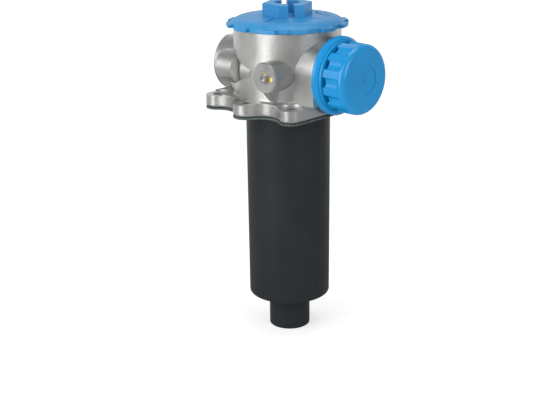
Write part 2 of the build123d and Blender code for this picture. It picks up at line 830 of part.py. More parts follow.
def make_baffle():
    front = duct_face_distance + breather_flange_thickness
    disc = rod(baffle_radius - close_clearance, front - baffle_thickness, front)
    inner = breather_spigot_radius - breather_spigot_wall
    slot = block((baffle_hub_radius, -baffle_slot_half_width, front - baffle_thickness),
                 (inner - baffle_slot_half_width, baffle_slot_half_width, front))
    for number in range(baffle_slot_count):
        disc -= Rot(0, 0, number * 360 / baffle_slot_count) * slot
    return on_side(disc, breather_axis_height)


def flute():
    """One finger hollow in the cap's side, open at the back and rounded at the front."""
    centre = breather_cap_radius + breather_flute_radius - breather_flute_depth
    end = cap_front - breather_flute_setback - breather_flute_round_reach
    hollow = rod(breather_flute_radius, cap_back, end) + Pos(0, 0, end) * Sphere(breather_flute_radius)
    return Pos(centre, 0, 0) * hollow


def make_breather_cap():
    shell = rod(breather_cap_radius, cap_back, cap_front)
    shell = fillet(circles(shell, breather_cap_radius, cap_front), breather_cap_edge_round)
    step = 360 / breather_flute_count
    for number in range(breather_flute_count):
        shell -= Rot(0, 0, number * step) * flute()
    inside = cap_front - breather_cap_wall
    shell -= rod(cap_inner_radius, cap_back, inside)
    air_slot = block((cap_inner_radius - overlap, -breather_slot_half_width, cap_back),
                     (breather_cap_radius, breather_slot_half_width, cap_back + breather_slot_length))
    for number in range(breather_flute_count):
        shell -= Rot(0, 0, number * step) * air_slot
    sleeve_back = neck_front - breather_sleeve_overlap
    sleeve = tube(sleeve_radius, sleeve_radius - breather_sleeve_wall, sleeve_back, inside)
    window = block((0, -breather_window_half_width, neck_front),
                   (sleeve_radius, breather_window_half_width, inside))
    for number in range(breather_window_count):
        sleeve -= Rot(0, 0, number * 360 / breather_window_count) * window
    shell += sleeve
    shell -= rod(breather_disc_radius, cap_front - breather_disc_depth, cap_front)
    shell += rod(breather_nub_radius, cap_front - breather_cap_wall, cap_front)
    return on_side(shell, breather_axis_height)


def make_breather_filter():
    start = cap_back + breather_slot_length + plain_clearance
    ring = tube(cap_inner_radius - plain_clearance, breather_neck_radius + plain_clearance,
                start, start + breather_filter_length)
    return on_side(ring, breather_axis_height)


# Pieces
export(make_head(), "head")
export(make_flange_gasket(), "flange_gasket")
gauge_ports = {
    "front": (front_gauge_place, front_gauge_distance),
    "side": (side_gauge_place, side_gauge_distance),
}
for side, (place, distance) in gauge_ports.items():
    export(place * make_gauge_plug(distance), f"{side}_gauge_plug")
    export(place * make_plug_washer(distance), f"{side}_plug_washer")

export(make_cover(), "cover")
cover_seal = ring_seal(land_radius - cover_groove_depth, mouth_radius, cover_seal_height,
                       sliding_seal_gap, sliding_seal_gap)
export(cover_seal, "cover_seal")
export(coil_spring(cover_spring_radius, cover_spring_wire, cover_spring_pitch, element_top, ceiling),
       "cover_spring")

export(make_bowl(), "bowl")
bowl_seal = ring_seal(chamber_radius - plain_clearance - bowl_groove_depth, chamber_radius,
                      ledge_top + bowl_rim_height / 2, seal_squeeze_gap, seal_squeeze_gap)
export(bowl_seal, "bowl_seal")

export(make_media(), "element_media")
export(make_core(), "element_core")
export(make_top_cap(), "element_top_cap")
export(make_bottom_cap(), "element_bottom_cap")
export(make_bail(), "element_bail")
element_seal = ring_seal(spigot_radius - spigot_groove_depth, spout_bore_radius, spigot_seal_height,
                         seal_squeeze_gap, seal_squeeze_gap)
export(element_seal, "element_seal")

export(make_bypass_cage(), "bypass_cage")
export(make_bypass_poppet(), "bypass_poppet")
export(coil_spring(bypass_spring_radius, bypass_spring_wire, bypass_spring_pitch,
                   element_plate_bottom - cage_depth + cage_floor, element_plate_bottom - poppet_thickness),
       "bypass_spring")

export(make_breather_base(), "breather_base")
export(make_breather_gasket(), "breather_gasket")
export(make_baffle(), "breather_baffle")
export(make_breather_filter(), "breather_filter")
export(make_breather_cap(), "breather_cap")
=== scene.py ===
import logging
import math
from dataclasses import dataclass
from enum import Enum
from typing import Any

import bmesh
import bpy
from mathutils import Matrix, Vector


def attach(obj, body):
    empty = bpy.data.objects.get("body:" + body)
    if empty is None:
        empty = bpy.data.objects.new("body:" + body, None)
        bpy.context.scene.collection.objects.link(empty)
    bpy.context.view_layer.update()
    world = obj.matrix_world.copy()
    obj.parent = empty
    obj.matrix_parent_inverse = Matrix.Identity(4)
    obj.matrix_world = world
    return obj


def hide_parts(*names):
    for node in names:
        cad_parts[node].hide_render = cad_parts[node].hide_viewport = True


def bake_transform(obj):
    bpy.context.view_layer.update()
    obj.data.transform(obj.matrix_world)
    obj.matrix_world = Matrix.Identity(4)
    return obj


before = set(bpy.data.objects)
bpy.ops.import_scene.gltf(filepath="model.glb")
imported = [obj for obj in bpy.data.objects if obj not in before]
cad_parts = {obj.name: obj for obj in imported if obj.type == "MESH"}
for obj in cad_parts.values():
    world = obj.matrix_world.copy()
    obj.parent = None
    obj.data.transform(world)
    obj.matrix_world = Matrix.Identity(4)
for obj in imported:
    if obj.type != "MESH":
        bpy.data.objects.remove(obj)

# A tank-top return-line filter with a screw cover, a side breather and a bowl with an outlet spout.
# Lengths are in metres, in the frame's own axes: +Z up the filter's axis, +X towards the breather.

MM = 0.001
TOWARDS_BREATHER = Matrix.Rotation(math.radians(90), 4, "Y")
TOWARDS_INLET = Matrix.Rotation(math.radians(-90), 4, "Y")

# The colour sockets of a Mix node, which stand behind those of its other kinds of value.
MIX_LOW, MIX_HIGH, MIX_RESULT = 6, 7, 2

log = logging.getLogger("filter")


class Body(Enum):
    """The bodies of the packed model that the scene's own pieces ride on."""

    HOUSING = "housing"
    SEAL_RING = "cover_seal_ring"
    COVER = "screw_cover"
    KNOB = "breather_knob"
    POPPET = "poppet"


# Node helpers


def add_node(tree: bpy.types.NodeTree, kind: str, inputs: dict[Any, Any] | None = None,
             **settings: Any) -> bpy.types.Node:
    """Adds a node, sets its options and fills its inputs.

    Args:
        tree: The node tree that gets the node.
        kind: The node's type name.
        inputs: A value or an output socket for each input, by name or number.
        settings: The node's own options.

    Returns:
        The new node.
    """
    node = tree.nodes.new(kind)
    for option, value in settings.items():
        setattr(node, option, value)
    for key, value in (inputs or {}).items():
        if isinstance(value, bpy.types.NodeSocket):
            tree.links.new(value, node.inputs[key])
        else:
            node.inputs[key].default_value = value
    return node


def add_group(name: str, inputs: dict[str, tuple[str, Any]], outputs: dict[str, str],
              kind: str = "ShaderNodeTree") -> tuple[bpy.types.NodeTree, Any, Any]:
    """Makes a node group with named inputs and outputs.

    Args:
        name: The group's name.
        inputs: The socket type and first value of each input.
        outputs: The socket type of each output.
        kind: The tree's type name.

    Returns:
        The group, its input node and its output node.
    """
    group = bpy.data.node_groups.new(name, kind)
    for label, (socket_type, value) in inputs.items():
        socket = group.interface.new_socket(label, in_out="INPUT", socket_type=socket_type)
        if value is not None:
            socket.default_value = value
    for label, socket_type in outputs.items():
        group.interface.new_socket(label, in_out="OUTPUT", socket_type=socket_type)
    return group, group.nodes.new("NodeGroupInput"), group.nodes.new("NodeGroupOutput")


def mix_colours(tree: bpy.types.NodeTree, factor: Any, low: Any, high: Any) -> bpy.types.NodeSocket:
    """Mixes two colours.

    Args:
        tree: The node tree.
        factor: The share of the second colour, a socket or a number.
        low: The first colour, a socket or three numbers.
        high: The second colour, a socket or three numbers.

    Returns:
        The mixed colour's socket.
    """
    node = add_node(tree, "ShaderNodeMix", {0: factor}, data_type="RGBA")
    for place, colour in ((MIX_LOW, low), (MIX_HIGH, high)):
        if isinstance(colour, bpy.types.NodeSocket):
            tree.links.new(colour, node.inputs[place])
        else:
            node.inputs[place].default_value = (*colour, 1.0)
    return node.outputs[MIX_RESULT]


def grey(level: float) -> tuple[float, float, float]:
    """A neutral colour."""
    return level, level, level


# Shared surface effects


class SurfaceEffects:
    """The shader groups that several finishes use, each built once."""

    def __init__(self) -> None:
        """Builds the groups."""
        self.grain = self.make_grain()
        self.handling = self.make_handling()

    def make_grain(self) -> bpy.types.NodeTree:
        """Fine surface grain over broader mottling.

        Returns:
            A group with a Fine and a Broad value, both around one half.
        """
        group, source, result = add_group(
            "surface_grain",
            {"Vector": ("NodeSocketVector", None), "Fine Scale": ("NodeSocketFloat", 900.0),
             "Broad Scale": ("NodeSocketFloat", 40.0), "Detail": ("NodeSocketFloat", 3.0)},
            {"Fine": "NodeSocketFloat", "Broad": "NodeSocketFloat"})
        fine = add_node(group, "ShaderNodeTexNoise", {
            "Vector": source.outputs["Vector"], "Scale": source.outputs["Fine Scale"],
            "Detail": source.outputs["Detail"], "Roughness": 0.6})
        broad = add_node(group, "ShaderNodeTexNoise", {
            "Vector": source.outputs["Vector"], "Scale": source.outputs["Broad Scale"],
            "Detail": 4.0, "Roughness": 0.55})
        group.links.new(fine.outputs["Fac"], result.inputs["Fine"])
        group.links.new(broad.outputs["Fac"], result.inputs["Broad"])
        return group

    def make_handling(self) -> bpy.types.NodeTree:
        """Faint rubbed patches, where hands and rags have polished a surface.

        Returns:
            A group with a Rubbed mask from 0 to 1.
        """
        group, source, result = add_group(
            "handling_marks",
            {"Vector": ("NodeSocketVector", None), "Scale": ("NodeSocketFloat", 14.0),
             "Amount": ("NodeSocketFloat", 0.5)},
            {"Rubbed": "NodeSocketFloat"})
        patches = add_node(group, "ShaderNodeTexNoise", {
            "Vector": source.outputs["Vector"], "Scale": source.outputs["Scale"], "Detail": 6.0,
            "Distortion": 0.6})
        spread = add_node(group, "ShaderNodeMapRange", {
            "Value": patches.outputs["Fac"], "From Min": 0.42, "From Max": 0.68, "To Min": 0.0,
            "To Max": source.outputs["Amount"]})
        group.links.new(spread.outputs["Result"], result.inputs["Rubbed"])
        return group


@dataclass(frozen=True)
class Finish:
    """A finish whose colour, gloss and relief vary over the surface."""

    name: str
    low_colour: tuple[float, float, float]
    high_colour: tuple[float, float, float]
    roughness: tuple[float, float]
    metallic: float = 0.0
    fine_scale: float = 900.0
    broad_scale: float = 40.0
    relief: float = 0.15
    relief_depth: float = 0.0001
    rubbed: float = 0.4
    specular: float = 0.5

    def make(self, effects: SurfaceEffects) -> bpy.types.Material:
        """Builds the material.

        Args:
            effects: The shared shader groups.

        Returns:
            The material, on Object coordinates.
        """
        material = bpy.data.materials.new(self.name)
        material.use_nodes = True
        tree = material.node_tree
        shader = tree.nodes["Principled BSDF"]
        place = add_node(tree, "ShaderNodeTexCoord").outputs["Object"]
        grain = add_node(tree, "ShaderNodeGroup", node_tree=effects.grain)
        tree.links.new(place, grain.inputs["Vector"])
        grain.inputs["Fine Scale"].default_value = self.fine_scale
        grain.inputs["Broad Scale"].default_value = self.broad_scale
        marks = add_node(tree, "ShaderNodeGroup", node_tree=effects.handling)
        tree.links.new(place, marks.inputs["Vector"])
        marks.inputs["Amount"].default_value = self.rubbed
        blend = add_node(tree, "ShaderNodeMath", {0: grain.outputs["Fine"], 1: grain.outputs["Broad"]},
                         operation="ADD")
        share = add_node(tree, "ShaderNodeMapRange", {
            "Value": blend.outputs[0], "From Min": 0.75, "From Max": 1.25})
        colour = mix_colours(tree, share.outputs["Result"], self.low_colour, self.high_colour)
        tree.links.new(colour, shader.inputs["Base Color"])
        gloss = add_node(tree, "ShaderNodeMapRange", {
            "Value": marks.outputs["Rubbed"], "To Min": self.roughness[1], "To Max": self.roughness[0]})
        tree.links.new(gloss.outputs["Result"], shader.inputs["Roughness"])
        bump = add_node(tree, "ShaderNodeBump", {
            "Strength": self.relief, "Distance": self.relief_depth, "Height": grain.outputs["Fine"]})
        tree.links.new(bump.outputs["Normal"], shader.inputs["Normal"])
        shader.inputs["Metallic"].default_value = self.metallic
        shader.inputs["Specular IOR Level"].default_value = self.specular
        return material


class Finishes:
    """Every finish on the filter, built from its description."""

    CAST = Finish(
        "cast_aluminium", (0.38, 0.385, 0.37), (0.66, 0.665, 0.65), (0.26, 0.40), metallic=0.95,
        fine_scale=1400.0, broad_scale=28.0, relief=0.6, relief_depth=0.00016)
    COVER_BLUE = Finish(
        "cover_blue", (0.016, 0.205, 0.47), (0.026, 0.27, 0.58), (0.32, 0.46),
        fine_scale=1500.0, broad_scale=22.0, relief=0.18, relief_depth=0.00006)
    BREATHER_BLUE = Finish(
        "breather_blue", (0.003, 0.235, 0.55), (0.008, 0.29, 0.65), (0.13, 0.24),
        fine_scale=1500.0, broad_scale=26.0, relief=0.14, relief_depth=0.00006)
    BOWL_BLACK = Finish(
        "bowl_black", (0.015, 0.019, 0.021), (0.021, 0.027, 0.029), (0.34, 0.46),
        fine_scale=1300.0, broad_scale=18.0, relief=0.2, relief_depth=0.00005, specular=0.22)
    FIBRE = Finish(
        "gasket_fibre", (0.045, 0.062, 0.062), (0.13, 0.155, 0.15), (0.6, 0.75),
        fine_scale=420.0, broad_scale=70.0, relief=0.4, relief_depth=0.0001)
    RUBBER = Finish(
        "seal_rubber", (0.014, 0.014, 0.015), (0.022, 0.022, 0.023), (0.45, 0.6),
        fine_scale=1200.0, relief=0.15)
    ZINC = Finish(
        "zinc_steel", (0.62, 0.62, 0.60), (0.78, 0.78, 0.75), (0.16, 0.28), metallic=1.0,
        fine_scale=1400.0, broad_scale=160.0, relief=0.15, relief_depth=0.00004)
    WASHER = Finish(
        "bonded_washer", (0.40, 0.37, 0.24), (0.56, 0.53, 0.38), (0.28, 0.42), metallic=0.9,
        fine_scale=1200.0, broad_scale=240.0, relief=0.15, relief_depth=0.00004)
    SPRING = Finish(
        "spring_wire", (0.22, 0.22, 0.23), (0.36, 0.36, 0.37), (0.25, 0.4), metallic=1.0,
        broad_scale=120.0, relief=0.12, relief_depth=0.00004)
    PAPER = Finish(
        "filter_paper", (0.60, 0.53, 0.38), (0.74, 0.68, 0.52), (0.75, 0.85),
        fine_scale=800.0, broad_scale=90.0, relief=0.4, relief_depth=0.00012)
    CORE = Finish(
        "core_steel", (0.42, 0.43, 0.43), (0.58, 0.59, 0.60), (0.28, 0.42), metallic=1.0,
        broad_scale=60.0, relief=0.12)
    CAP_PLASTIC = Finish(
        "cap_plastic", (0.035, 0.035, 0.037), (0.05, 0.05, 0.052), (0.4, 0.55),
        fine_scale=1300.0, relief=0.15, relief_depth=0.00005)
    FOAM = Finish(
        "filter_foam", (0.10, 0.10, 0.095), (0.22, 0.22, 0.205), (0.85, 0.95),
        fine_scale=520.0, broad_scale=160.0, relief=0.9, relief_depth=0.0005)
    YELLOW = Finish(
        "yellow_paint", (0.72, 0.62, 0.02), (0.86, 0.76, 0.04), (0.35, 0.5), relief=0.2)

    def __init__(self, effects: SurfaceEffects) -> None:
        """Builds the materials.

        Args:
            effects: The shared shader groups.
        """
        self.made: dict[str, bpy.types.Material] = {}
        for finish in vars(Finishes).values():
            if isinstance(finish, Finish):
                self.made[finish.name] = finish.make(effects)

    def of(self, finish: Finish) -> bpy.types.Material:
        """The material of a finish."""
        return self.made[finish.name]

    def dress(self, finish: Finish, *nodes: str) -> None:
        """Gives the frame's own pieces a finish.

        Args:
            finish: The finish.
            nodes: The names of the nodes.
        """
        for name in nodes:
            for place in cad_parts[name].material_slots:
                place.material = self.of(finish)
            log.info("%s is %s", name, finish.name)


# Geometry that follows a rule


class GrowingRules:
    """The geometry node trees for screw threads and springs."""

    def __init__(self) -> None:
        """Builds the trees."""
        self.thread = self.make_thread()
        self.spring = self.make_spring()

    def make_thread(self) -> bpy.types.NodeTree:
        """One thread ridge, a trapezoid wound up a helix, that fades out at both ends.

        Returns:
            The geometry tree.
        """
        tree, source, result = add_group(
            "thread_ridge",
            {"Radius": ("NodeSocketFloat", 0.05), "Pitch": ("NodeSocketFloat", 0.004),
             "Turns": ("NodeSocketFloat", 2.0), "Root Width": ("NodeSocketFloat", 0.002),
             "Tip Width": ("NodeSocketFloat", 0.001), "Ridge Height": ("NodeSocketFloat", 0.001),
             "Fade Share": ("NodeSocketFloat", 0.05), "End Scale": ("NodeSocketFloat", 0.25),
             "Steps": ("NodeSocketInt", 96), "Material": ("NodeSocketMaterial", None)},
            {"Geometry": "NodeSocketGeometry"}, "GeometryNodeTree")
        rise = add_node(tree, "ShaderNodeMath", {0: source.outputs["Pitch"], 1: source.outputs["Turns"]},
                        operation="MULTIPLY")
        helix = add_node(tree, "GeometryNodeCurveSpiral", {
            "Resolution": source.outputs["Steps"], "Rotations": source.outputs["Turns"],
            "Start Radius": source.outputs["Radius"], "End Radius": source.outputs["Radius"],
            "Height": rise.outputs[0]})
        level = add_node(tree, "GeometryNodeSetCurveNormal", {"Curve": helix.outputs["Curve"]}, mode="Z_UP")
        section = add_node(tree, "GeometryNodeCurvePrimitiveQuadrilateral", {
            "Height": source.outputs["Ridge Height"], "Bottom Width": source.outputs["Root Width"],
            "Top Width": source.outputs["Tip Width"], "Offset": 0.0}, mode="TRAPEZOID")
        along = add_node(tree, "GeometryNodeSplineParameter").outputs["Factor"]
        back = add_node(tree, "ShaderNodeMath", {0: 1.0, 1: along}, operation="SUBTRACT")
        nearest = add_node(tree, "ShaderNodeMath", {0: along, 1: back.outputs[0]}, operation="MINIMUM")
        fade = add_node(tree, "ShaderNodeMapRange", {
            "Value": nearest.outputs[0], "From Min": 0.0, "From Max": source.outputs["Fade Share"],
            "To Min": source.outputs["End Scale"], "To Max": 1.0})
        body = add_node(tree, "GeometryNodeCurveToMesh", {
            "Curve": level.outputs["Curve"], "Profile Curve": section.outputs["Curve"],
            "Scale": fade.outputs["Result"], "Fill Caps": True})
        self.close(tree, body.outputs["Mesh"], source, result)
        return tree

    def make_spring(self) -> bpy.types.NodeTree:
        """A coil spring whose end coils lie closed.

        Returns:
            The geometry tree.
        """
        tree, source, result = add_group(
            "spring_coil",
            {"Radius": ("NodeSocketFloat", 0.02), "Wire": ("NodeSocketFloat", 0.003),
             "Length": ("NodeSocketFloat", 0.06), "Turns": ("NodeSocketFloat", 8.0),
             "Dead Share": ("NodeSocketFloat", 0.12), "Dead Rise": ("NodeSocketFloat", 0.003),
             "Steps": ("NodeSocketInt", 48), "Wire Sides": ("NodeSocketInt", 14),
             "Material": ("NodeSocketMaterial", None)},
            {"Geometry": "NodeSocketGeometry"}, "GeometryNodeTree")
        ring = add_node(tree, "GeometryNodeCurveSpiral", {
            "Resolution": source.outputs["Steps"], "Rotations": source.outputs["Turns"],
            "Start Radius": source.outputs["Radius"], "End Radius": source.outputs["Radius"],
            "Height": 0.0})
        along = add_node(tree, "GeometryNodeSplineParameter").outputs["Factor"]
        dead = source.outputs["Dead Share"]
        rise = source.outputs["Dead Rise"]
        far = add_node(tree, "ShaderNodeMath", {0: 1.0, 1: dead}, operation="SUBTRACT").outputs[0]
        twice = add_node(tree, "ShaderNodeMath", {0: rise, 1: 2.0}, operation="MULTIPLY").outputs[0]
        active = add_node(tree, "ShaderNodeMath", {0: source.outputs["Length"], 1: twice},
                          operation="SUBTRACT").outputs[0]
        parts = [
            add_node(tree, "ShaderNodeMapRange", {
                "Value": along, "From Min": begin, "From Max": end, "To Max": climb}).outputs["Result"]
            for begin, end, climb in ((0.0, dead, rise), (dead, far, active), (far, 1.0, rise))
        ]
        lower = add_node(tree, "ShaderNodeMath", {0: parts[0], 1: parts[1]}, operation="ADD").outputs[0]
        height = add_node(tree, "ShaderNodeMath", {0: lower, 1: parts[2]}, operation="ADD").outputs[0]
        lift = add_node(tree, "ShaderNodeCombineXYZ", {"Z": height})
        coil = add_node(tree, "GeometryNodeSetPosition", {
            "Geometry": ring.outputs["Curve"], "Offset": lift.outputs["Vector"]})
        half = add_node(tree, "ShaderNodeMath", {0: source.outputs["Wire"], 1: 0.5}, operation="MULTIPLY")
        section = add_node(tree, "GeometryNodeCurvePrimitiveCircle", {
            "Resolution": source.outputs["Wire Sides"], "Radius": half.outputs[0]}, mode="RADIUS")
        body = add_node(tree, "GeometryNodeCurveToMesh", {
            "Curve": coil.outputs["Geometry"], "Profile Curve": section.outputs["Curve"], "Fill Caps": True})
        self.close(tree, body.outputs["Mesh"], source, result)
        return tree

    def close(self, tree: bpy.types.NodeTree, mesh: bpy.types.NodeSocket, source: Any, result: Any) -> None:
        """Ends a tree with Realize Instances and Set Material.

        Args:
            tree: The tree.
            mesh: The mesh that it has made.
            source: Its input node.
            result: Its output node.
        """
        real = add_node(tree, "GeometryNodeRealizeInstances", {"Geometry": mesh})
        dressed = add_node(tree, "GeometryNodeSetMaterial", {
            "Geometry": real.outputs["Geometry"], "Material": source.outputs["Material"]})
        tree.links.new(dressed.outputs["Geometry"], result.inputs["Geometry"])


def new_piece(name: str, mesh: bpy.types.Mesh) -> bpy.types.Object:
    """Puts a mesh into the scene as an object at the origin.

    Args:
        name: The piece's name.
        mesh: Its mesh, already in place.

    Returns:
        The object.
    """
    piece = bpy.data.objects.new(name, mesh)
    bpy.context.scene.collection.objects.link(piece)
    log.info("piece %s", name)
    return piece


def smooth(mesh: bpy.types.Mesh, degrees: float = 35.0) -> None:
    """Shades a mesh smooth, with sharp edges where it turns by more than the angle.

    Args:
        mesh: The mesh.
        degrees: The angle.
    """
    mesh.shade_smooth()
    mesh.set_sharp_from_angle(angle=math.radians(degrees))


def grow(name: str, tree: bpy.types.NodeTree, values: dict[str, Any], place: Matrix) -> bpy.types.Object:
    """Runs a geometry tree and keeps its result as a plain mesh.

    Args:
        name: The piece's name.
        tree: The geometry tree.
        values: A value for each named input.
        place: Where the mesh goes.

    Returns:
        The object, at the origin.
    """
    piece = new_piece(name, bpy.data.meshes.new(name + "_seed"))
    rule = piece.modifiers.new("rule", "NODES")
    rule.node_group = tree
    for socket in tree.interface.items_tree:
        if socket.item_type == "SOCKET" and socket.in_out == "INPUT" and socket.name in values:
            rule[socket.identifier] = values[socket.name]
    bpy.context.view_layer.update()
    evaluated = piece.evaluated_get(bpy.context.evaluated_depsgraph_get())
    mesh = bpy.data.meshes.new_from_object(evaluated)
    mesh.name = name
    piece.modifiers.remove(rule)
    piece.data = mesh
    mesh.transform(place)
    if not mesh.materials:
        mesh.materials.append(values["Material"])
    smooth(mesh)
    return piece


@dataclass(frozen=True)
class Thread:
    """The sizes of one thread ridge."""

    wall_radius: float
    height: float
    pitch: float
    turns: float
    start: float
    turn: float
    outward: bool
    root_width: float = 2.0 * MM
    tip_width: float = 0.9 * MM
    bite: float = 0.25 * MM

    def make(self, name: str, rules: GrowingRules, material: bpy.types.Material, base: Matrix
             ) -> bpy.types.Object:
        """Grows the ridge on its wall.

        Args:
            name: The piece's name.
            rules: The geometry trees.
            material: Its material.
            base: The place of the thread's own axis.

        Returns:
            The ridge.
        """
        side = 1 if self.outward else -1
        middle = self.wall_radius + side * (self.height - self.bite) / 2
        ends = (self.root_width, self.tip_width) if self.outward else (self.tip_width, self.root_width)
        turned = Matrix.Rotation(math.radians(self.turn), 4, "Z")
        place = base @ Matrix.Translation((0, 0, self.start)) @ turned
        values = {"Radius": middle, "Pitch": self.pitch, "Turns": self.turns, "Root Width": ends[0],
                  "Tip Width": ends[1], "Ridge Height": self.height + self.bite, "Material": material}
        return grow(name, rules.thread, values, place)


# Sub-assemblies


@dataclass
class HeadCasting:
    """The cast head with its ports, gasket and the thread that holds the cover."""

    cover_thread: Thread = Thread(
        wall_radius=53.6 * MM, height=0.95 * MM, pitch=4 * MM, turns=2.3, start=71.9 * MM, turn=180.0,
        outward=False)
    inlet_thread: Thread = Thread(
        wall_radius=19.5 * MM, height=0.8 * MM, pitch=2.309 * MM, turns=8.0, start=59.5 * MM, turn=0.0,
        outward=False, root_width=1.6 * MM, tip_width=0.5 * MM)
    inlet_height: float = 40.1 * MM
    dot_centre: tuple[float, float, float] = (37.9 * MM, -65.5 * MM, 44.8 * MM)
    dot_radius: tuple[float, float] = (1.6 * MM, 2.5 * MM)
    dot_height: float = 0.12 * MM
    dot_rings: tuple[tuple[float, float], ...] = ((1.0, 0.0), (0.92, 0.55), (0.6, 0.9), (0.25, 1.0))
    dot_points: int = 28
    dot_waves: tuple[float, float] = (0.08, 0.05)
    dot_crease: float = 60.0

    def build(self, finishes: Finishes, rules: GrowingRules) -> None:
        """Dresses the casting and adds its threads and paint mark.

        Args:
            finishes: The materials.
            rules: The geometry trees.
        """
        finishes.dress(Finishes.CAST, "head")
        finishes.dress(Finishes.FIBRE, "flange_gasket")
        finishes.dress(Finishes.ZINC, "front_gauge_plug", "side_gauge_plug")
        finishes.dress(Finishes.WASHER, "front_plug_washer", "side_plug_washer")
        metal = finishes.of(Finishes.CAST)
        bore = self.cover_thread.make("head_cover_thread", rules, metal, Matrix.Identity(4))
        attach(bore, Body.HOUSING.value)
        inlet = Matrix.Translation((0, 0, self.inlet_height)) @ TOWARDS_INLET
        port = self.inlet_thread.make("inlet_thread", rules, metal, inlet)
        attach(port, Body.HOUSING.value)
        dot = self.paint_dot(finishes.of(Finishes.YELLOW))
        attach(dot, Body.HOUSING.value)

    def paint_dot(self, material: bpy.types.Material) -> bpy.types.Object:
        """The dab of inspection paint beside the front plug, domed and a little uneven.

        Args:
            material: Its material.

        Returns:
            The dab.
        """
        shape = bmesh.new()
        broad, fine = self.dot_waves
        loops = []
        for share, rise in self.dot_rings:
            loop = []
            for number in range(self.dot_points):
                angle = 2 * math.pi * number / self.dot_points
                reach = share * (1 + broad * math.sin(2 * angle + 0.7) + fine * math.sin(5 * angle))
                loop.append(shape.verts.new((
                    self.dot_centre[0] + self.dot_radius[0] * reach * math.cos(angle),
                    self.dot_centre[1] - self.dot_height * rise,
                    self.dot_centre[2] + self.dot_radius[1] * reach * math.sin(angle))))
            loops.append(loop)
        for lower, upper in zip(loops, loops[1:]):
            for number in range(self.dot_points):
                after = (number + 1) % self.dot_points
                shape.faces.new((lower[number], lower[after], upper[after], upper[number]))
        shape.faces.new(loops[-1])
        shape.faces.new(list(reversed(loops[0])))
        bmesh.ops.recalc_face_normals(shape, faces=shape.faces)
        mesh = bpy.data.meshes.new("paint_dot")
        shape.to_mesh(mesh)
        shape.free()
        mesh.materials.append(material)
        smooth(mesh, self.dot_crease)
        return new_piece("paint_dot", mesh)


@dataclass
class ScrewCover:
    """The screw cover, its seal ring, its thread and the spring under it."""

    thread: Thread = Thread(
        wall_radius=52.3 * MM, height=0.95 * MM, pitch=4 * MM, turns=2.3, start=71.9 * MM, turn=0.0,
        outward=True)
    spring_radius: float = 22.0 * MM
    spring_wire: float = 3.2 * MM
    spring_bottom: float = 33.0 * MM
    spring_top: float = 94.2 * MM
    spring_turns: float = 8.5

    def build(self, finishes: Finishes, rules: GrowingRules) -> None:
        """Dresses the cover and seal, and makes the thread and the spring.

        Args:
            finishes: The materials.
            rules: The geometry trees.
        """
        finishes.dress(Finishes.COVER_BLUE, "cover")
        finishes.dress(Finishes.RUBBER, "cover_seal")
        ridge = self.thread.make("cover_thread", rules, finishes.of(Finishes.COVER_BLUE), Matrix.Identity(4))
        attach(ridge, Body.COVER.value)
        steel = finishes.of(Finishes.SPRING)
        spring = wound_spring("cover_spring_coil", rules, steel, self.spring_radius, self.spring_wire,
                              self.spring_bottom, self.spring_top, self.spring_turns)
        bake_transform(spring)
        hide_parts("cover_spring")


# The closed coils at each end of a spring, and the rise of each as a share of the wire.
CLOSED_COILS = 1.1
CLOSED_COIL_RISE = 1.02


def wound_spring(name: str, rules: GrowingRules, material: bpy.types.Material, radius: float, wire: float,
                 bottom: float, top: float, turns: float) -> bpy.types.Object:
    """A spring between two seats, with one and a bit closed coils at each end.

    Args:
        name: The piece's name.
        rules: The geometry trees.
        material: Its material.
        radius: The coil's mean radius.
        wire: The wire's diameter.
        bottom: The lower seat's level.
        top: The upper seat's level.
        turns: The number of coils.

    Returns:
        The spring.
    """
    values = {"Radius": radius, "Wire": wire, "Length": top - bottom - wire, "Turns": turns,
              "Dead Share": CLOSED_COILS / turns, "Dead Rise": CLOSED_COILS * wire * CLOSED_COIL_RISE,
              "Material": material}
    return grow(name, rules.spring, values, Matrix.Translation((0, 0, bottom + wire / 2)))


@dataclass
class FilterBowl:
    """The bowl and its seal."""

    def build(self, finishes: Finishes) -> None:
        """Dresses the bowl.

        Args:
            finishes: The materials.
        """
        finishes.dress(Finishes.BOWL_BLACK, "bowl")
        finishes.dress(Finishes.RUBBER, "bowl_seal")


@dataclass
class FilterElement:
    """The filter element with the bypass valve in its top cap."""

    spring_radius: float = 8.6 * MM
    spring_wire: float = 1.5 * MM
    spring_bottom: float = 6.4 * MM
    spring_top: float = 26.8 * MM
    spring_turns: float = 6.0

    def build(self, finishes: Finishes, rules: GrowingRules) -> None:
        """Dresses the element and makes the bypass spring.

        Args:
            finishes: The materials.
            rules: The geometry trees.
        """
        finishes.dress(Finishes.PAPER, "element_media")
        finishes.dress(Finishes.CORE, "element_core")
        finishes.dress(Finishes.CAP_PLASTIC, "element_top_cap", "element_bottom_cap", "bypass_cage",
                       "bypass_poppet")
        finishes.dress(Finishes.SPRING, "element_bail")
        finishes.dress(Finishes.RUBBER, "element_seal")
        spring = wound_spring("bypass_spring_coil", rules, finishes.of(Finishes.SPRING), self.spring_radius,
                              self.spring_wire, self.spring_bottom, self.spring_top, self.spring_turns)
        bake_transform(spring)
        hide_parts("bypass_spring")


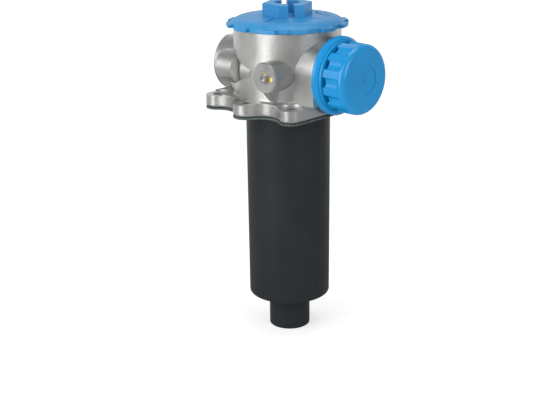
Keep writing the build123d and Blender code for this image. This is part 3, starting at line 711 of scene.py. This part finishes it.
@dataclass
class Breather:
    """The filler breather on the side: base, baffle, foam ring and screw cap."""

    axis_height: float = 43.2 * MM
    neck_thread: Thread = Thread(
        wall_radius=25.2 * MM, height=0.62 * MM, pitch=4 * MM, turns=1.9, start=85.4 * MM, turn=180.0,
        outward=False, root_width=1.7 * MM, tip_width=0.7 * MM)
    cap_thread: Thread = Thread(
        wall_radius=24.3 * MM, height=0.62 * MM, pitch=4 * MM, turns=1.9, start=85.4 * MM, turn=0.0,
        outward=True, root_width=1.7 * MM, tip_width=0.7 * MM)

    def build(self, finishes: Finishes, rules: GrowingRules) -> None:
        """Dresses the breather and makes its two threads.

        Args:
            finishes: The materials.
            rules: The geometry trees.
        """
        finishes.dress(Finishes.BREATHER_BLUE, "breather_base", "breather_cap")
        finishes.dress(Finishes.RUBBER, "breather_gasket")
        finishes.dress(Finishes.CAP_PLASTIC, "breather_baffle")
        finishes.dress(Finishes.FOAM, "breather_filter")
        blue = finishes.of(Finishes.BREATHER_BLUE)
        axis = Matrix.Translation((0, 0, self.axis_height)) @ TOWARDS_BREATHER
        neck = self.neck_thread.make("breather_neck_thread", rules, blue, axis)
        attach(neck, Body.HOUSING.value)
        sleeve = self.cap_thread.make("breather_cap_thread", rules, blue, axis)
        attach(sleeve, Body.KNOB.value)


# Camera, lamps and floor


@dataclass(frozen=True)
class Lamp:
    """A soft rectangular lamp that faces the filter."""

    name: str
    place: tuple[float, float, float]
    width: float
    height: float
    power: float

    def build(self, target: Vector) -> None:
        """Puts the lamp into the scene.

        Args:
            target: The point that it faces.
        """
        data = bpy.data.lights.new(self.name, "AREA")
        data.shape = "RECTANGLE"
        data.size = self.width
        data.size_y = self.height
        data.energy = self.power
        lamp = bpy.data.objects.new(self.name, data)
        lamp.location = self.place
        lamp.rotation_euler = (target - Vector(self.place)).to_track_quat("-Z", "Y").to_euler()
        bpy.context.scene.collection.objects.link(lamp)


@dataclass
class Studio:
    """A white floor and backdrop, soft lamps, the dim room that gloss shows in front, and the camera."""

    camera_place: tuple[float, float, float] = (0.79885, -0.86087, 0.28617)
    camera_turn: tuple[float, float, float] = (71.156, 0.682, 43.385)
    lens: float = 72.686
    sensor_width: float = 36.0
    clip: tuple[float, float] = (0.05, 50.0)
    floor_half: float = 6.0
    floor_level: float = -255.1 * MM
    floor_cells: int = 8
    floor_greys: tuple[float, float] = (0.54, 0.56)
    floor_cloud_scale: float = 3.0
    floor_dim_grey: float = 0.1
    floor_bounce_grey: float = 0.8
    target: tuple[float, float, float] = (0.0, 0.0, -0.05)
    lamps: tuple[Lamp, ...] = (
        Lamp("key_lamp", (-0.04, -0.95, 0.30), width=0.48, height=1.08, power=6.1),
        Lamp("left_lamp", (-0.95, -1.0, 0.35), width=0.5, height=0.8, power=2.2),
        Lamp("fill_lamp", (1.7, -0.15, 0.55), width=0.7, height=1.0, power=8.0),
        Lamp("top_lamp", (0.1, 0.2, 1.7), width=1.0, height=1.0, power=9.0),
    )
    sky: float = 0.5
    dim_room: float = 0.28
    room_edge: tuple[float, float] = (0.5, 0.97)
    floor_edge: tuple[float, float] = (0.35, 1.1)
    backdrop_edge: tuple[float, float] = (0.5, 2.2)
    floor_glow: tuple[float, float] = (0.6, 0.95)

    def build(self) -> None:
        """Builds the studio."""
        self.build_camera()
        for lamp in self.lamps:
            lamp.build(Vector(self.target))
        self.build_world()
        self.build_floor()
        bpy.context.scene.view_settings.view_transform = "Standard"

    def build_camera(self) -> None:
        """Puts the camera where the photograph was taken from."""
        data = bpy.data.cameras.new("photo_camera")
        data.lens = self.lens
        data.sensor_width = self.sensor_width
        data.clip_start, data.clip_end = self.clip
        camera = bpy.data.objects.new("photo_camera", data)
        camera.location = self.camera_place
        camera.rotation_euler = [math.radians(angle) for angle in self.camera_turn]
        bpy.context.scene.collection.objects.link(camera)
        bpy.context.scene.camera = camera

    def seen(self, tree: bpy.types.NodeTree) -> bpy.types.NodeSocket:
        """The rays that show the backdrop: the camera's own, and those through gloss and glass.

        Args:
            tree: The node tree.

        Returns:
            A socket that is 1 on those rays.
        """
        path = add_node(tree, "ShaderNodeLightPath")
        gloss = add_node(tree, "ShaderNodeMath", {
            0: path.outputs["Is Glossy Ray"], 1: path.outputs["Is Transmission Ray"]}, operation="MAXIMUM")
        return add_node(tree, "ShaderNodeMath", {0: path.outputs["Is Camera Ray"], 1: gloss.outputs[0]},
                        operation="MAXIMUM").outputs[0]

    def room_light(self, tree: bpy.types.NodeTree, place: Any, edge: tuple[float, float]
                   ) -> bpy.types.NodeSocket:
        """White to the camera everywhere, and dim where gloss shows the room in front of the filter.

        Args:
            tree: The node tree.
            place: A socket with a direction or a place.
            edge: Where the room starts to grow light and where it is fully light, along the camera's
                level view.

        Returns:
            The light's socket.
        """
        turn = math.radians(self.camera_turn[2])
        ahead = add_node(tree, "ShaderNodeVectorMath", {0: place, 1: (-math.sin(turn), math.cos(turn), 0.0)},
                         operation="DOT_PRODUCT")
        dimmed = add_node(tree, "ShaderNodeMapRange", {
            "Value": ahead.outputs["Value"], "From Min": edge[0], "From Max": edge[1],
            "To Min": self.dim_room, "To Max": 1.0}, interpolation_type="SMOOTHSTEP")
        path = add_node(tree, "ShaderNodeLightPath")
        return add_node(tree, "ShaderNodeMath", {
            0: path.outputs["Is Camera Ray"], 1: dimmed.outputs["Result"]}, operation="MAXIMUM").outputs[0]

    def build_world(self) -> None:
        """A white backdrop that lights the filter at a lower level."""
        world = bpy.data.worlds.new("studio")
        bpy.context.scene.world = world
        world.use_nodes = True
        tree = world.node_tree
        light = tree.nodes["Background"]
        light.inputs["Color"].default_value = (*grey(1.0), 1.0)
        direction = add_node(tree, "ShaderNodeTexCoord").outputs["Generated"]
        strength = add_node(tree, "ShaderNodeMapRange", {
            "Value": self.seen(tree), "To Min": self.sky,
            "To Max": self.room_light(tree, direction, self.room_edge)})
        tree.links.new(strength.outputs["Result"], light.inputs["Strength"])

    def build_floor(self) -> None:
        """A wide white floor that keeps the filter's shadow."""
        material = bpy.data.materials.new("floor_white")
        material.use_nodes = True
        tree = material.node_tree
        tree.nodes.remove(tree.nodes["Principled BSDF"])
        place = add_node(tree, "ShaderNodeTexCoord").outputs["Object"]
        cloud = add_node(tree, "ShaderNodeTexNoise", {
            "Vector": place, "Scale": self.floor_cloud_scale, "Detail": 2.0})
        low, high = self.floor_greys
        tint = mix_colours(tree, cloud.outputs["Fac"], grey(low), grey(high))
        bright = self.room_light(tree, place, self.floor_edge)
        distance = add_node(tree, "ShaderNodeVectorMath", {0: place}, operation="LENGTH")
        far = add_node(tree, "ShaderNodeMapRange", {
            "Value": distance.outputs["Value"], "From Min": self.backdrop_edge[0],
            "From Max": self.backdrop_edge[1], "To Min": self.floor_glow[0],
            "To Max": self.floor_glow[1]}, interpolation_type="SMOOTHSTEP").outputs["Result"]
        shade = mix_colours(tree, bright, grey(self.floor_dim_grey), tint)
        matt = add_node(tree, "ShaderNodeBsdfDiffuse", {"Color": shade})
        strength = add_node(tree, "ShaderNodeMath", {0: bright, 1: far}, operation="MULTIPLY")
        glow = add_node(tree, "ShaderNodeEmission", {
            "Color": (*grey(1.0), 1.0), "Strength": strength.outputs[0]})
        both = add_node(tree, "ShaderNodeAddShader", {0: matt.outputs[0], 1: glow.outputs[0]})
        plain = add_node(tree, "ShaderNodeBsdfDiffuse", {"Color": (*grey(self.floor_bounce_grey), 1.0)})
        chosen = add_node(tree, "ShaderNodeMixShader", {
            0: self.seen(tree), 1: plain.outputs[0], 2: both.outputs[0]})
        tree.links.new(chosen.outputs[0], tree.nodes["Material Output"].inputs["Surface"])
        shape = bmesh.new()
        bmesh.ops.create_grid(shape, x_segments=self.floor_cells, y_segments=self.floor_cells,
                              size=self.floor_half)
        mesh = bpy.data.meshes.new("floor")
        shape.to_mesh(mesh)
        shape.free()
        mesh.transform(Matrix.Translation((0, 0, self.floor_level)))
        mesh.materials.append(material)
        new_piece("floor", mesh)


def main() -> None:
    """Builds the studio and the filter."""
    logging.basicConfig(level=logging.INFO, format="%(name)s: %(message)s")
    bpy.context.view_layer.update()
    Studio().build()
    finishes = Finishes(SurfaceEffects())
    rules = GrowingRules()
    HeadCasting().build(finishes, rules)
    ScrewCover().build(finishes, rules)
    FilterBowl().build(finishes)
    FilterElement().build(finishes, rules)
    Breather().build(finishes, rules)


if __name__ == "__main__":
    main()
